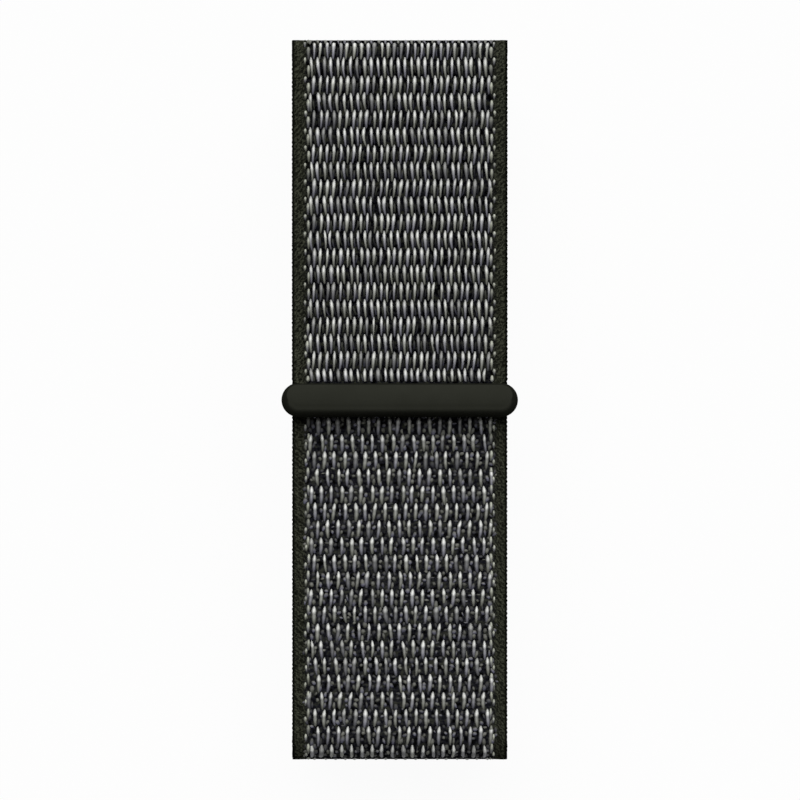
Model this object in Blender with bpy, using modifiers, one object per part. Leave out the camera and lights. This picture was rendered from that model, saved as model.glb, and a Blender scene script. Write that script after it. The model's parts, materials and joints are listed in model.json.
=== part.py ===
# Nylon hook-and-loop watch strap, closed into its loop and lying on its back.
# X runs across the strap, Y along it, Z up from the surface it lies on; metres.

import math

import bmesh
import bpy
from mathutils import Matrix

MM = 0.001

# Webbing
STRAP_WIDTH = 22.0 * MM
STRAP_THICKNESS = 1.6 * MM
EDGE_ROUND = 0.35 * MM
LOOP_LENGTH = 74.7 * MM        # outside, end to end
LOOP_HEIGHT = 20.0 * MM        # table to the outer face of the front run
FRONT_FOLD_RADIUS = 3.2 * MM   # outside, the two upper folds
INNER_FOLD_RADIUS = 2.4 * MM   # outside, the fold that lies under the tail
BACK_FOLD_RADIUS = 7.0 * MM    # outside, the two lower folds
LAYER_GAP = 0.5 * MM           # between the strap and the tail that lies on it
BACK_RUN_LENGTH = 8.3 * MM     # strap pin to the lower fold
RAMP_LENGTH = 4.5 * MM         # over which two layers close up beside a pin
FOLDED_END_LENGTH = 9.0 * MM   # of the sewn end, past its pin
FOLD_STEPS = 8
WRAP_STEPS = 12
RAMP_STEPS = 6

# Loose end of the webbing
PEEL_SETBACK = 0.4 * MM        # from the upper fold to the line where the tail peels
PEEL_GAP = 0.3 * MM
TONGUE_THICKNESS = 0.7 * MM    # pressed flat inside the end tab
TONGUE_DEPTH = 2.5 * MM        # how far it reaches into the tab
TAIL_TO_TAB = 0.2 * MM

# Hook patch
PATCH_THICKNESS = 0.7 * MM
PATCH_CORNER = 1.5 * MM
PATCH_FROM_EDGE = 1.5 * MM     # to the strap's edge
PATCH_FROM_TAB = 1.8 * MM
PATCH_FROM_PEEL = 3.4 * MM
PATCH_SEAT_GAP = 0.1 * MM      # patch to the pocket's floor
POCKET_DEPTH = 0.6 * MM
POCKET_CLEARANCE = 0.2 * MM

# End tab
TAB_WIDTH = 24.15 * MM
TAB_LENGTH = 3.48 * MM
TAB_FROM_MIDDLE = 0.17 * MM    # tab to the middle of the loop
TAB_THICKNESS = 2.9 * MM
TAB_SIDE_WALL = 1.875 * MM     # outside the tongue at each end
TAB_LIFT = 0.35 * MM           # tab above the strap's outer face
TAB_TOP_ROUND = 0.95 * MM
TAB_UNDER_ROUND = 0.45 * MM
TAB_SEAM = 0.1 * MM
TAB_CLEARANCE = 0.12 * MM      # round the tongue and the pegs
PEG_RADIUS = 0.4 * MM
PEG_SPACING = 7.6 * MM
PEG_HEIGHT = 1.3 * MM
PEG_COUNT = 3

# Lug connector
LUG_WIDTH = 22.0 * MM
LUG_CLEARANCE = 0.15 * MM      # each side, connector in the watch's lugs
LUG_REACH = 2.6 * MM           # bar axis to the shoulder behind the lugs
BODY_THICKNESS = 3.2 * MM
BODY_EDGE_ROUND = 0.2 * MM
CHEEK_THICKNESS = 0.6 * MM
CHEEK_CLEARANCE = 0.15 * MM    # webbing to cheek
WEB_THICKNESS = 0.9 * MM       # wall between the slot and the lugs
SLOT_CLEARANCE = 0.45 * MM     # webbing to the wall of the slot
PIN_RADIUS = 0.7 * MM
PIN_CLEARANCE = 0.15 * MM      # webbing on the pin
PIN_FIT = 0.08 * MM
PIN_INSET = 0.1 * MM

# Quick-release spring bar
TUBE_RADIUS = 0.9 * MM
TUBE_BORE_RADIUS = 0.7 * MM
TUBE_INSET = 0.2 * MM          # tube's end inside the connector's end
BORE_CLEARANCE = 0.12 * MM
LIP_LENGTH = 0.35 * MM
TIP_RADIUS = 0.4 * MM
TIP_FIT = 0.08 * MM
TIP_REACH = 0.9 * MM           # tip past the nominal lug width's half
TIP_CHAMFER = 0.1 * MM
PISTON_RADIUS = 0.6 * MM
PISTON_LENGTH = 1.6 * MM
PISTON_GAP = 0.1 * MM
SPRING_WIRE_RADIUS = 0.1 * MM
SPRING_RADIUS = 0.5 * MM
SPRING_GAP = 0.12 * MM
SPRING_TURNS = 14
SPRING_POINTS_PER_TURN = 8
LEVER_STEM_RADIUS = 0.3 * MM
LEVER_KNOB_RADIUS = 0.65 * MM
LEVER_KNOB_HEIGHT = 0.8 * MM
LEVER_KNOB_ROUND = 0.15 * MM
LEVER_GAP = 0.1 * MM
LEVER_SLOT_CLEARANCE = 0.15 * MM
LEVER_SETBACK = 0.6 * MM       # from the piston's inner end

# Thread of the sewn end
THREAD_RADIUS = 0.14 * MM
THREAD_GAP = 0.08 * MM
THREAD_FROM_EDGE = 1.7 * MM    # rows of stitches to the strap's edge
THREAD_PITCH = 1.1 * MM
THREAD_ROW_DEPTH = 1.6 * MM
THREAD_ROW_SPACING = 2.6 * MM
THREAD_FROM_END = 0.9 * MM

OVERRUN = 1.0 * MM
ROUND_STEPS = 24
MERGE = 0.002 * MM

# What follows from the sizes above
HALF_LENGTH = LOOP_LENGTH / 2
LAYER_PITCH = STRAP_THICKNESS + LAYER_GAP
BASE_Z = STRAP_THICKNESS / 2
UPPER_Z = BASE_Z + LAYER_PITCH
PIN_Y = HALF_LENGTH - BACK_FOLD_RADIUS - BACK_RUN_LENGTH
WRAP_INNER = PIN_RADIUS + PIN_CLEARANCE
WRAP_MID = WRAP_INNER + STRAP_THICKNESS / 2
WRAP_OUTER = WRAP_INNER + STRAP_THICKNESS
PIN_Z = STRAP_THICKNESS + WRAP_INNER
TAIL_UNDER_Z = LOOP_HEIGHT + LAYER_GAP
TAIL_TOP_Z = TAIL_UNDER_Z + STRAP_THICKNESS
PEEL_Y = HALF_LENGTH - FRONT_FOLD_RADIUS - PEEL_SETBACK
TAB_UNDER_Z = LOOP_HEIGHT + TAB_LIFT
TAB_MID_Z = TAB_UNDER_Z + TAB_THICKNESS / 2
TONGUE_WIDTH = TAB_WIDTH - 2 * TAB_SIDE_WALL
PATCH_WIDTH = STRAP_WIDTH - 2 * PATCH_FROM_EDGE
THREAD_SPAN = STRAP_WIDTH - 2 * THREAD_FROM_EDGE
TAB_EDGE_Y = TAB_FROM_MIDDLE + TAB_LENGTH / 2
TAIL_END_Y = TAB_EDGE_Y + TAIL_TO_TAB
TONGUE_END_Y = TAB_EDGE_Y - TONGUE_DEPTH
NOSE_RADIUS = BODY_THICKNESS / 2
SLOT_Y = WRAP_OUTER + SLOT_CLEARANCE
SHOULDER_Y = SLOT_Y + WEB_THICKNESS
BAR_Y = SHOULDER_Y + LUG_REACH
NOSE_HALF_WIDTH = LUG_WIDTH / 2 - LUG_CLEARANCE
CHEEK_INNER_X = STRAP_WIDTH / 2 + CHEEK_CLEARANCE
CHEEK_OUTER_X = CHEEK_INNER_X + CHEEK_THICKNESS
BODY_TILT = math.asin((PIN_Z - NOSE_RADIUS) / BAR_Y)
TUBE_HALF = NOSE_HALF_WIDTH - TUBE_INSET
TIP_END_X = LUG_WIDTH / 2 + TIP_REACH
PISTON_END_X = TUBE_HALF - LIP_LENGTH - PISTON_GAP
PISTON_START_X = PISTON_END_X - PISTON_LENGTH
TIP_TRAVEL = TIP_END_X - NOSE_HALF_WIDTH
LEVER_X = PISTON_START_X + LEVER_SETBACK
STEM_CLEAR_RADIUS = LEVER_STEM_RADIUS + LEVER_SLOT_CLEARANCE
BORE_RADIUS = TUBE_RADIUS + BORE_CLEARANCE


def clear_scene():
    for leftover in list(bpy.data.objects):
        bpy.data.objects.remove(leftover, do_unlink=True)


clear_scene()
parts = bpy.data.collections.new("nylon_watch_strap")
cutters = bpy.data.collections.new("cutters")
bpy.context.scene.collection.children.link(parts)
bpy.context.scene.collection.children.link(cutters)


def linear(hex_colour):
    channels = [int(hex_colour[i:i + 2], 16) / 255 for i in (0, 2, 4)]
    return [c / 12.92 if c <= 0.04045 else ((c + 0.055) / 1.055) ** 2.4 for c in channels] + [1.0]


def material(name, hex_colour, roughness, metallic=0.0):
    made = bpy.data.materials.new(name)
    made.use_nodes = True
    shader = made.node_tree.nodes["Principled BSDF"]
    shader.inputs["Base Color"].default_value = linear(hex_colour)
    shader.inputs["Roughness"].default_value = roughness
    shader.inputs["Metallic"].default_value = metallic
    return made


woven_nylon = material("woven_nylon", "4B4C49", 0.85)
hook_nylon = material("hook_nylon", "1D1E1B", 0.7)
sewing_thread = material("sewing_thread", "24261F", 0.8)
moulded_nylon = material("moulded_nylon", "2C2D27", 0.5)
coated_steel = material("coated_steel", "3A3A3B", 0.35, 1.0)
bright_steel = material("bright_steel", "B9BABC", 0.3, 1.0)


def empty(name, place, turn=(0, 0, 0)):
    made = bpy.data.objects.new(name, None)
    made.location = place
    made.rotation_euler = turn
    parts.objects.link(made)
    return made


def add_part(name, mesh, finish, parent=None, place=(0, 0, 0)):
    made = bpy.data.objects.new(name, mesh)
    made.data.materials.append(finish)
    made.location = place
    made.parent = parent
    parts.objects.link(made)
    return made


def add_cutter(name, mesh, parent=None, place=(0, 0, 0)):
    made = bpy.data.objects.new(name, mesh)
    made.location = place
    made.parent = parent
    made.hide_render = True
    made.display_type = "WIRE"
    cutters.objects.link(made)
    return made


def boolean(target, tool, operation):
    step = target.modifiers.new(tool.name, "BOOLEAN")
    step.operation = operation
    step.object = tool
    return step


def mesh_from(bm, name):
    bmesh.ops.recalc_face_normals(bm, faces=bm.faces)
    mesh = bpy.data.meshes.new(name)
    bm.to_mesh(mesh)
    bm.free()
    return mesh


def box_mesh(name, low, high):
    size = [b - a for a, b in zip(low, high)]
    middle = [(a + b) / 2 for a, b in zip(low, high)]
    bm = bmesh.new()
    bmesh.ops.create_cube(bm, size=1, matrix=Matrix.Translation(middle) @ Matrix.Diagonal((*size, 1)))
    return mesh_from(bm, name)


def cylinder_mesh(name, radius, length, middle=(0, 0, 0), axis="Z", round_edge=0.0):
    turn = Matrix.Rotation(math.pi / 2, 4, "Y") if axis == "X" else Matrix.Identity(4)
    bm = bmesh.new()
    bmesh.ops.create_cone(bm, cap_ends=True, segments=ROUND_STEPS, radius1=radius, radius2=radius,
                          depth=length, matrix=Matrix.Translation(middle) @ turn)
    if round_edge:
        rims = [e for e in bm.edges if any(len(f.verts) > 4 for f in e.link_faces)]
        bmesh.ops.bevel(bm, geom=rims, offset=round_edge, segments=2, profile=0.5, affect="EDGES")
    mesh = mesh_from(bm, name)
    shade(mesh)
    return mesh


def shade(mesh):
    mesh.shade_smooth()
    mesh.set_sharp_from_angle(angle=math.radians(35))


def turned(name, profile, finish, closed, parent=None):
    """A piece turned about its own X axis from (along, radius) points, outer side towards -X."""
    mesh = bpy.data.meshes.new(name)
    edges = [(i, i + 1) for i in range(len(profile) - 1)]
    if closed:
        edges.append((len(profile) - 1, 0))
    mesh.from_pydata([(along, radius, 0) for along, radius in profile], edges, [])
    made = add_part(name, mesh, finish, parent)
    screw = made.modifiers.new("turn", "SCREW")
    screw.axis = "X"
    screw.angle = 2 * math.pi
    screw.steps = ROUND_STEPS
    screw.render_steps = ROUND_STEPS
    screw.use_merge_vertices = True
    screw.merge_threshold = MERGE
    screw.use_smooth_shade = True
    return made


def arc(centre, radius, start, end, steps):
    turns = [math.radians(start + (end - start) * i / steps) for i in range(steps + 1)]
    return [(centre[0] + radius * math.cos(t), centre[1] + radius * math.sin(t)) for t in turns]


def ramp(start, end):
    """An S-shaped rise between two (y, z) points, level at both ends."""
    points = []
    for i in range(RAMP_STEPS + 1):
        along = i / RAMP_STEPS
        rise = (1 - math.cos(math.pi * along)) / 2
        points.append((start[0] + (end[0] - start[0]) * along, start[1] + (end[1] - start[1]) * rise))
    return points


def tube_along(name, points, radius, finish, parent=None):
    curve = bpy.data.curves.new(name, "CURVE")
    curve.dimensions = "3D"
    curve.bevel_depth = radius
    curve.bevel_resolution = 1
    curve.use_fill_caps = True
    line = curve.splines.new("POLY")
    line.points.add(len(points) - 1)
    for point, place in zip(line.points, points):
        point.co = (*place, 1)
    return add_part(name, curve, finish, parent)


def plate_mesh(name, outline, low_z, high_z, top_round=0.0, under_round=0.0):
    """A flat outline of (x, y) points with its thickness, and its rims rounded."""
    curve = bpy.data.curves.new(name, "CURVE")
    curve.dimensions = "2D"
    curve.fill_mode = "BOTH"
    curve.extrude = (high_z - low_z) / 2
    line = curve.splines.new("POLY")
    line.points.add(len(outline) - 1)
    for point, place in zip(line.points, outline):
        point.co = (*place, 0, 1)
    line.use_cyclic_u = True
    holder = bpy.data.objects.new(name, curve)
    cutters.objects.link(holder)
    bpy.context.view_layer.update()
    mesh = bpy.data.meshes.new_from_object(holder.evaluated_get(bpy.context.evaluated_depsgraph_get()))
    bpy.data.objects.remove(holder, do_unlink=True)
    bm = bmesh.new()
    bm.from_mesh(mesh)
    bmesh.ops.remove_doubles(bm, verts=bm.verts, dist=MERGE)
    bmesh.ops.dissolve_limit(bm, angle_limit=math.radians(1), verts=bm.verts, edges=bm.edges)
    bmesh.ops.translate(bm, verts=bm.verts, vec=(0, 0, (high_z + low_z) / 2))
    for level, width in ((high_z, top_round), (low_z, under_round)):
        rim = [e for e in bm.edges if all(abs(v.co.z - level) < MERGE for v in e.verts)]
        if width:
            bmesh.ops.bevel(bm, geom=rim, offset=width, segments=4, profile=0.5, affect="EDGES")
    return mesh_from(bm, name)


def stadium(width, length, middle_y):
    radius = length / 2
    reach = width / 2 - radius
    right = arc((reach, middle_y), radius, -90, 90, WRAP_STEPS)
    left = arc((-reach, middle_y), radius, 90, 270, WRAP_STEPS)
    return right + left


def rounded_rectangle(low, high, radius):
    corners = ((high[0], high[1], 0), (low[0], high[1], 90), (low[0], low[1], 180), (high[0], low[1], 270))
    points = []
    for x, y, turn in corners:
        inward_x = radius if x == low[0] else -radius
        inward_y = radius if y == low[1] else -radius
        points += arc((x + inward_x, y + inward_y), radius, turn, turn + 90, RAMP_STEPS)
    return points


def strap_path():
    """Middle line of the webbing in (y, z): sewn end, loop, turn round the second pin, tail's back."""
    wrap_top_z = PIN_Z + WRAP_MID
    back_y = HALF_LENGTH - BACK_FOLD_RADIUS
    back_mid = BACK_FOLD_RADIUS - STRAP_THICKNESS / 2
    front_y = HALF_LENGTH - FRONT_FOLD_RADIUS
    front_mid = FRONT_FOLD_RADIUS - STRAP_THICKNESS / 2
    inner_y = HALF_LENGTH - LAYER_PITCH - INNER_FOLD_RADIUS
    inner_mid = INNER_FOLD_RADIUS - STRAP_THICKNESS / 2
    path = [(-PIN_Y - FOLDED_END_LENGTH, UPPER_Z)]
    path += ramp((-PIN_Y - RAMP_LENGTH, UPPER_Z), (-PIN_Y, wrap_top_z))[:-1]
    path += arc((-PIN_Y, PIN_Z), WRAP_MID, 90, -90, WRAP_STEPS)
    path += arc((-back_y, BACK_FOLD_RADIUS), back_mid, -90, -180, FOLD_STEPS)
    path += arc((-front_y, LOOP_HEIGHT - FRONT_FOLD_RADIUS), front_mid, 180, 90, FOLD_STEPS)
    path += arc((inner_y, LOOP_HEIGHT - INNER_FOLD_RADIUS), inner_mid, 90, 0, FOLD_STEPS)
    path += arc((back_y, BACK_FOLD_RADIUS), back_mid - LAYER_PITCH, 0, -90, FOLD_STEPS)
    path += ramp((PIN_Y + RAMP_LENGTH, UPPER_Z), (PIN_Y, wrap_top_z))[:-1]
    path += arc((PIN_Y, PIN_Z), WRAP_MID, 90, 270, WRAP_STEPS)
    path += arc((back_y, BACK_FOLD_RADIUS), back_mid, -90, 0, FOLD_STEPS)
    path += arc((front_y, TAIL_TOP_Z - FRONT_FOLD_RADIUS), front_mid, 0, 90, FOLD_STEPS)
    path.append((PEEL_Y + PEEL_GAP / 2, TAIL_TOP_Z - STRAP_THICKNESS / 2))
    return path


def strap_band():
    bm = bmesh.new()
    line = [bm.verts.new((-STRAP_WIDTH / 2, y, z)) for y, z in strap_path()]
    edges = [bm.edges.new(pair) for pair in zip(line, line[1:])]
    swept = bmesh.ops.extrude_edge_only(bm, edges=edges)["geom"]
    moved = [v for v in swept if isinstance(v, bmesh.types.BMVert)]
    bmesh.ops.translate(bm, verts=moved, vec=(STRAP_WIDTH, 0, 0))
    band = add_part("strap_band", mesh_from(bm, "strap_band"), woven_nylon)
    wall = band.modifiers.new("webbing", "SOLIDIFY")
    wall.thickness = STRAP_THICKNESS
    wall.offset = 0
    wall.use_even_offset = True
    soften(band, EDGE_ROUND, 2)
    return band


def soften(target, width, segments):
    edge = target.modifiers.new("rounded_edges", "BEVEL")
    edge.width = width
    edge.segments = segments
    edge.limit_method = "ANGLE"
    edge.angle_limit = math.radians(60)


def strap_tail(hinge):
    """The part of the webbing that peels: full thickness up to the tab, then a pressed tongue."""
    origin = hinge.location
    half = STRAP_WIDTH / 2
    slab = box_mesh("strap_tail", (-half, TAIL_END_Y - origin.y, TAIL_UNDER_Z - origin.z),
                    (half, PEEL_Y - PEEL_GAP / 2 - origin.y, TAIL_TOP_Z - origin.z))
    tail = add_part("strap_tail", slab, woven_nylon, hinge)
    soften(tail, EDGE_ROUND, 2)
    tongue = box_mesh("tongue", (-TONGUE_WIDTH / 2, TONGUE_END_Y, TAB_MID_Z - TONGUE_THICKNESS / 2),
                      (TONGUE_WIDTH / 2, TAIL_END_Y + OVERRUN, TAB_MID_Z + TONGUE_THICKNESS / 2))
    boolean(tail, add_cutter("tongue", tongue), "UNION")
    boolean(tail, add_cutter("patch_pocket", patch_mesh("patch_pocket", POCKET_CLEARANCE,
                                                        TAIL_UNDER_Z - OVERRUN,
                                                        TAIL_UNDER_Z + POCKET_DEPTH)), "DIFFERENCE")
    for peg in peg_meshes("tongue_hole", TAB_CLEARANCE, TAB_MID_Z - OVERRUN, TAB_MID_Z + OVERRUN):
        boolean(tail, add_cutter(peg.name, peg), "DIFFERENCE")
    return tail


def patch_mesh(name, margin, low_z, high_z):
    start = TAIL_END_Y + PATCH_FROM_TAB
    low = (-PATCH_WIDTH / 2 - margin, start - margin)
    high = (PATCH_WIDTH / 2 + margin, PEEL_Y - PATCH_FROM_PEEL + margin)
    return plate_mesh(name, rounded_rectangle(low, high, PATCH_CORNER + margin), low_z, high_z)


def hook_patch(hinge):
    top = TAIL_UNDER_Z + POCKET_DEPTH - PATCH_SEAT_GAP
    mesh = patch_mesh("hook_patch", 0.0, top - PATCH_THICKNESS, top)
    mesh.transform(Matrix.Translation(-hinge.location))
    return add_part("hook_patch", mesh, hook_nylon, hinge)


def peg_meshes(name, margin, low_z, high_z):
    middle_y = (TONGUE_END_Y + TAB_EDGE_Y) / 2
    meshes = []
    for i in range(PEG_COUNT):
        x = (i - (PEG_COUNT - 1) / 2) * PEG_SPACING
        meshes.append(cylinder_mesh(f"{name}_{i + 1}", PEG_RADIUS + margin, high_z - low_z,
                                    (x, middle_y, (low_z + high_z) / 2)))
    return meshes


def end_tab(hinge):
    """Two moulded shells closed on the tongue: the inner one carries the pegs."""
    outline = stadium(TAB_WIDTH, TAB_LENGTH, TAB_FROM_MIDDLE)
    recess_half = TONGUE_THICKNESS / 2 + TAB_CLEARANCE
    recess = box_mesh("tab_recess", (-TONGUE_WIDTH / 2 - TAB_CLEARANCE, TONGUE_END_Y - TAB_CLEARANCE,
                                     TAB_MID_Z - recess_half),
                      (TONGUE_WIDTH / 2 + TAB_CLEARANCE, TAB_EDGE_Y + OVERRUN,
                       TAB_MID_Z + recess_half))
    recess_cutter = add_cutter("tab_recess", recess)
    outer_mesh = plate_mesh("end_tab_outer", outline, TAB_MID_Z + TAB_SEAM / 2,
                            TAB_MID_Z + TAB_THICKNESS / 2, top_round=TAB_TOP_ROUND)
    inner_mesh = plate_mesh("end_tab_inner", outline, TAB_UNDER_Z, TAB_MID_Z - TAB_SEAM / 2,
                            under_round=TAB_UNDER_ROUND)
    shells = []
    for name, mesh in (("end_tab_outer", outer_mesh), ("end_tab_inner", inner_mesh)):
        mesh.transform(Matrix.Translation(-hinge.location))
        shell = add_part(name, mesh, moulded_nylon, hinge)
        boolean(shell, recess_cutter, "DIFFERENCE")
        shells.append(shell)
    peg_foot = TAB_MID_Z - recess_half - OVERRUN / 2
    peg_top = TAB_MID_Z - recess_half + PEG_HEIGHT
    for peg in peg_meshes("tab_peg", 0.0, peg_foot, peg_top):
        boolean(shells[1], add_cutter(peg.name, peg), "UNION")
    for socket in peg_meshes("peg_socket", TAB_CLEARANCE, TAB_MID_Z - OVERRUN, peg_top + TAB_CLEARANCE):
        boolean(shells[0], add_cutter(socket.name, socket), "DIFFERENCE")


def anchor_thread():
    """Two zigzag rows that hold the folded end down, one thread."""
    level = UPPER_Z + STRAP_THICKNESS / 2 + THREAD_GAP + THREAD_RADIUS
    first_row_y = -PIN_Y - FOLDED_END_LENGTH + THREAD_FROM_END
    count = 2 * round(THREAD_SPAN / THREAD_PITCH / 2)
    points = []
    for row in range(2):
        run = range(count + 1) if row == 0 else range(count, -1, -1)
        for i in run:
            x = -THREAD_SPAN / 2 + THREAD_SPAN * i / count
            side = THREAD_ROW_DEPTH if (i + row) % 2 else 0
            points.append((x, first_row_y + row * THREAD_ROW_SPACING + side, level))
    return tube_along("anchor_thread", points, THREAD_RADIUS, sewing_thread)


def connector_body(prefix, pivot):
    """Fork that holds the strap pin, and the nose that goes between the lugs. Y runs to the nose."""
    side = arc((0, 0), NOSE_RADIUS, 90, 270, WRAP_STEPS) + arc((BAR_Y, 0), NOSE_RADIUS, -90, 90, WRAP_STEPS)
    blank = plate_mesh(f"{prefix}_body", [(-z, y) for y, z in side], -CHEEK_OUTER_X, CHEEK_OUTER_X)
    blank.transform(Matrix.Rotation(math.pi / 2, 4, "Y"))
    body = add_part(f"{prefix}_body", blank, coated_steel, pivot)
    reach = NOSE_RADIUS + OVERRUN
    slot = box_mesh(f"{prefix}_slot", (-CHEEK_INNER_X, -reach, -reach), (CHEEK_INNER_X, SLOT_Y, reach))
    boolean(body, add_cutter(f"{prefix}_slot", slot, pivot), "DIFFERENCE")
    for side_name, sign in (("left", -1), ("right", 1)):
        ends = sorted((sign * NOSE_HALF_WIDTH, sign * (CHEEK_OUTER_X + OVERRUN)))
        shoulder = box_mesh(f"{prefix}_shoulder_{side_name}", (ends[0], SHOULDER_Y, -reach),
                            (ends[1], BAR_Y + reach, reach))
        boolean(body, add_cutter(shoulder.name, shoulder, pivot), "DIFFERENCE")
    soften(body, BODY_EDGE_ROUND, 2)
    through = 2 * (CHEEK_OUTER_X + OVERRUN)
    holes = (("pin_hole", PIN_RADIUS + PIN_FIT, 0), ("bar_bore", BORE_RADIUS, BAR_Y))
    for hole_name, radius, y in holes:
        hole = cylinder_mesh(f"{prefix}_{hole_name}", radius, through, (0, y, 0), "X")
        boolean(body, add_cutter(hole.name, hole, pivot), "DIFFERENCE")
    boolean(body, lever_slot(f"{prefix}_lever_slot", pivot), "DIFFERENCE")
    return body


def lever_slot(name, pivot):
    """Window over the lever's whole travel, from the bar's axis up through the top."""
    clear = STEM_CLEAR_RADIUS
    mesh = box_mesh(name, (LEVER_X - TIP_TRAVEL - clear, BAR_Y - clear, 0),
                    (LEVER_X + clear, BAR_Y + clear, NOSE_RADIUS + OVERRUN))
    return add_cutter(name, mesh, pivot)


def spring_bar(prefix, pivot):
    bar = empty(f"{prefix}_bar_axis", (0, BAR_Y, 0))
    bar.parent = pivot
    lip_radius = TIP_RADIUS + TIP_FIT
    tube_profile = [(TUBE_HALF, lip_radius), (TUBE_HALF, TUBE_RADIUS), (-TUBE_HALF, TUBE_RADIUS),
                    (-TUBE_HALF, lip_radius), (LIP_LENGTH - TUBE_HALF, lip_radius),
                    (LIP_LENGTH - TUBE_HALF, TUBE_BORE_RADIUS), (TUBE_HALF - LIP_LENGTH, TUBE_BORE_RADIUS),
                    (TUBE_HALF - LIP_LENGTH, lip_radius)]
    tube = turned(f"{prefix}_bar_tube", tube_profile, bright_steel, True, bar)
    boolean(tube, lever_slot(f"{prefix}_tube_slot", pivot), "DIFFERENCE")
    for side_name, sign in (("left", -1), ("right", 1)):
        profile = [(TIP_END_X, 0), (TIP_END_X, TIP_RADIUS - TIP_CHAMFER), (TIP_END_X - TIP_CHAMFER, TIP_RADIUS),
                   (PISTON_END_X, TIP_RADIUS), (PISTON_END_X, PISTON_RADIUS), (PISTON_START_X, PISTON_RADIUS),
                   (PISTON_START_X, 0)]
        tip = turned(f"{prefix}_bar_tip_{side_name}", profile, bright_steel, False, bar)
        if sign < 0:
            tip.rotation_euler = (0, 0, math.pi)
    reach = PISTON_START_X - SPRING_GAP - SPRING_WIRE_RADIUS
    count = SPRING_TURNS * SPRING_POINTS_PER_TURN
    coil = []
    for i in range(count + 1):
        turn = 2 * math.pi * i / SPRING_POINTS_PER_TURN
        coil.append((-reach + 2 * reach * i / count, SPRING_RADIUS * math.cos(turn),
                     SPRING_RADIUS * math.sin(turn)))
    tube_along(f"{prefix}_bar_spring", coil, SPRING_WIRE_RADIUS, bright_steel, bar)


def release_lever(prefix, pivot):
    """Knob on a stem that stands on the right tip's piston and comes out through the window."""
    foot = PISTON_RADIUS + LEVER_GAP
    knob_low = NOSE_RADIUS + LEVER_GAP
    stem_high = knob_low + LEVER_KNOB_HEIGHT / 2
    place = (LEVER_X, BAR_Y, 0)
    knob = cylinder_mesh(f"{prefix}_release_lever", LEVER_KNOB_RADIUS, LEVER_KNOB_HEIGHT,
                         (0, 0, knob_low + LEVER_KNOB_HEIGHT / 2), round_edge=LEVER_KNOB_ROUND)
    lever = add_part(f"{prefix}_release_lever", knob, bright_steel, pivot, place)
    stem = cylinder_mesh(f"{prefix}_lever_stem", LEVER_STEM_RADIUS, stem_high - foot,
                         (0, 0, (foot + stem_high) / 2))
    boolean(lever, add_cutter(stem.name, stem, pivot, place), "UNION")
    return lever


def strap_pin(prefix, pivot):
    length = 2 * (CHEEK_OUTER_X - PIN_INSET)
    pin = cylinder_mesh(f"{prefix}_strap_pin", PIN_RADIUS, length, axis="X", round_edge=TIP_CHAMFER)
    return add_part(f"{prefix}_strap_pin", pin, bright_steel, pivot)


def connector(prefix, pin_y, heading):
    pivot = empty(f"{prefix}_pivot", (0, pin_y, PIN_Z), (-BODY_TILT, 0, heading))
    connector_body(prefix, pivot)
    strap_pin(prefix, pivot)
    spring_bar(prefix, pivot)
    release_lever(prefix, pivot)


def build():
    strap_band()
    peel_line = empty("tail_peel_line", (0, PEEL_Y, TAIL_TOP_Z))
    strap_tail(peel_line)
    hook_patch(peel_line)
    end_tab(peel_line)
    anchor_thread()
    connector("connector_a", -PIN_Y, 0)
    connector("connector_b", PIN_Y, math.pi)


build()
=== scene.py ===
import json
import math

import bmesh
import bpy
import numpy as np
from mathutils import Matrix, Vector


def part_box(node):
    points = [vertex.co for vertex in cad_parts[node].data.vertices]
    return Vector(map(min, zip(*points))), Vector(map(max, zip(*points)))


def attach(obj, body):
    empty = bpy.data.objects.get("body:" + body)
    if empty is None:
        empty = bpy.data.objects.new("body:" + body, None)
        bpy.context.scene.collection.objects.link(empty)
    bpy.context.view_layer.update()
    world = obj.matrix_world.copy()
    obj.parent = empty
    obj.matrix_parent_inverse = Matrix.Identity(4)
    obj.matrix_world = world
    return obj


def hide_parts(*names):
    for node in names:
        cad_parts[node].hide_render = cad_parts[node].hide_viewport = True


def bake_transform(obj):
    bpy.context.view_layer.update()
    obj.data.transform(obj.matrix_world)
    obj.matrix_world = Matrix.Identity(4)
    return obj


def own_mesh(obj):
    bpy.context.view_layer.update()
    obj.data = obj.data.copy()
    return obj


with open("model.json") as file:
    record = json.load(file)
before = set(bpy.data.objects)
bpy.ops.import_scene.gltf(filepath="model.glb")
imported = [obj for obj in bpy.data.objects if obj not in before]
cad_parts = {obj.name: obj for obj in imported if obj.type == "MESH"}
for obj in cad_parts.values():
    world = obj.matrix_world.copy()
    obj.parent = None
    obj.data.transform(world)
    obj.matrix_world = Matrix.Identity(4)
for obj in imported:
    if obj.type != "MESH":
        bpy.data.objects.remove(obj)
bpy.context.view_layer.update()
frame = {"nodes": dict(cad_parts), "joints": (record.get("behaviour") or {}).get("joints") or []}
mm = 0.001
print("frame loaded:", len(frame["nodes"]), "nodes")


# Helpers

def linear(hexCode):
    # sRGB hex to the linear colour that a socket takes
    channels = [int(hexCode[i:i + 2], 16) / 255 for i in (1, 3, 5)]
    return [c / 12.92 if c <= 0.04045 else ((c + 0.055) / 1.055) ** 2.4 for c in channels] + [1.0]


def addNode(tree, kind, settings=None, links=None):
    made = tree.nodes.new("ShaderNode" + kind)
    for key, value in (settings or {}).items():
        if isinstance(key, str) and hasattr(made, key):
            setattr(made, key, value)
        else:
            made.inputs[key].default_value = value
    for key, source in (links or {}).items():
        tree.links.new(source if isinstance(source, bpy.types.NodeSocket) else source.outputs[0],
                       made.inputs[key])
    return made


def newMaterial(name, settings):
    made = bpy.data.materials.new(name)
    made.use_nodes = True
    shader = made.node_tree.nodes["Principled BSDF"]
    for key, value in settings.items():
        shader.inputs[key].default_value = value
    return made, made.node_tree, shader


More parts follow.
